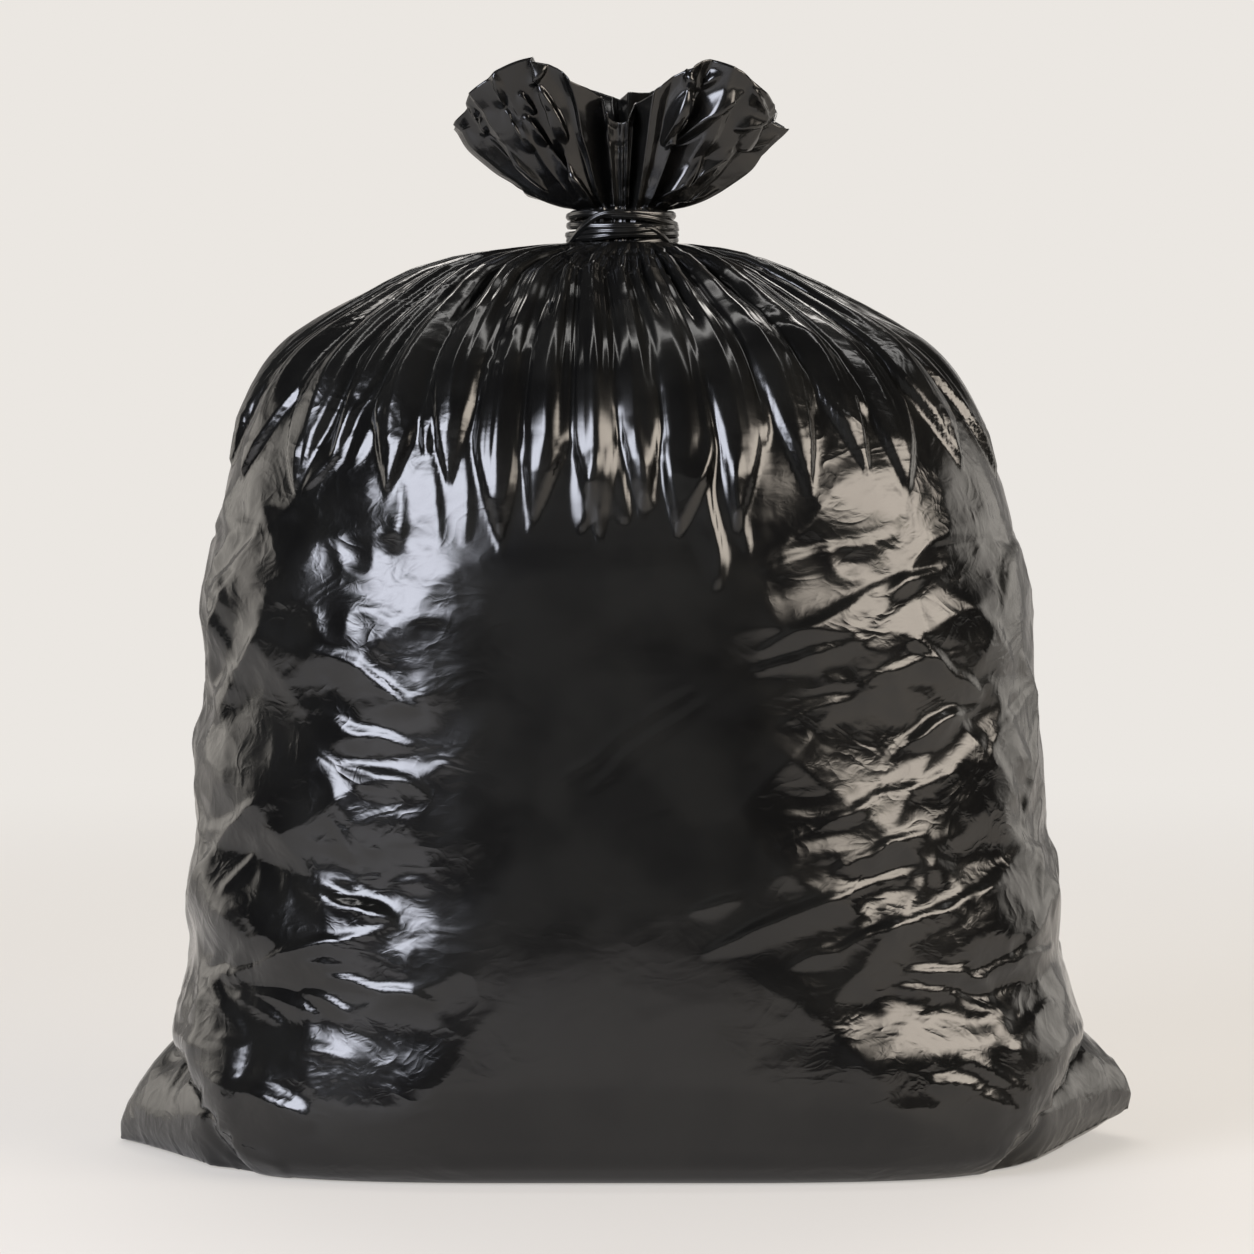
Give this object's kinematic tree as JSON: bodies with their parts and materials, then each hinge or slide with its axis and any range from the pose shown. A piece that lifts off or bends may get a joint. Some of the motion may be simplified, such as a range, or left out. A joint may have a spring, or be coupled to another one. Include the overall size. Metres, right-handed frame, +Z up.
{
  "type": "full bin bag",
  "caption": "Filled black refuse sack standing on the floor, pleated into a neck bound with a wound strip of film, with an open ruff above and two sealed corners below.",
  "frame": {"origin": "on the floor, under the middle of the gathered neck", "axes": "+Z up along the neck, -Y towards the front of the sack, +X towards its right sealed corner as seen from the front"},
  "size_m": [0.622, 0.396, 0.6706],
  "materials": {
    "black_film": "glossy creased low-density polyethylene film",
    "strip_film": "glossy tightly stretched polyethylene film"
  },
  "bodies": {
    "root": {"sack": "black_film", "neck_strip": "strip_film"}
  },
  "joints": []
}
